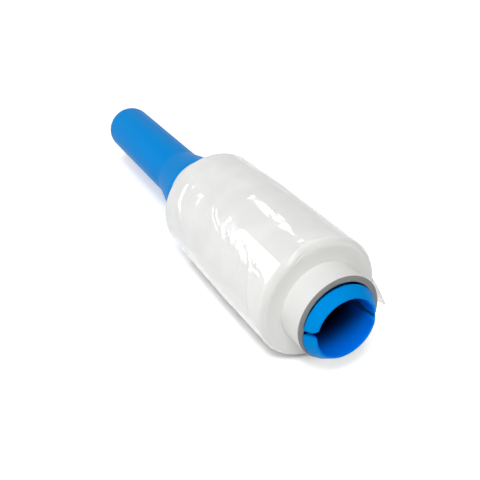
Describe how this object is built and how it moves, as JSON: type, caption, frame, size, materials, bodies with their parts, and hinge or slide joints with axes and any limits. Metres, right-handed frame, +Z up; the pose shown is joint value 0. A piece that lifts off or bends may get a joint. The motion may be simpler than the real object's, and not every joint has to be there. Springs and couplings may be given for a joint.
{
  "type": "stretch wrap roll",
  "caption": "Hand roll of clear stretch film on a cardboard core, spinning on a plastic handle that snaps through the core.",
  "frame": {"origin": "middle of the small flat spot that the soft film roll lies on, under the middle of the film's width", "axes": "+X along the roll, from the handle's closed end towards its open tip; +Z up; the roll's axis is 32.5 mm above the origin and the handle's axis 1.7 mm below that"},
  "size_m": [0.2854, 0.0662, 0.0656],
  "materials": {
    "blue_plastic": "moulded polyethylene, bright blue, satin to gloss",
    "core_board": "spiral-wound board, smooth white outside, grey at the cut ends",
    "stretch_film": "wound clear polyethylene film, milky white in the roll, glossy with slack folds"
  },
  "bodies": {
    "handle": {"handle": "blue_plastic"},
    "roll": {"core": "core_board", "film_roll": "stretch_film"}
  },
  "joints": [
    {"name": "roll_spin", "type": "hinge", "parent": "handle", "child": "roll", "pos_m": [0, 0, 0.0325], "axis": [1, 0, 0], "continuous": true}
  ]
}
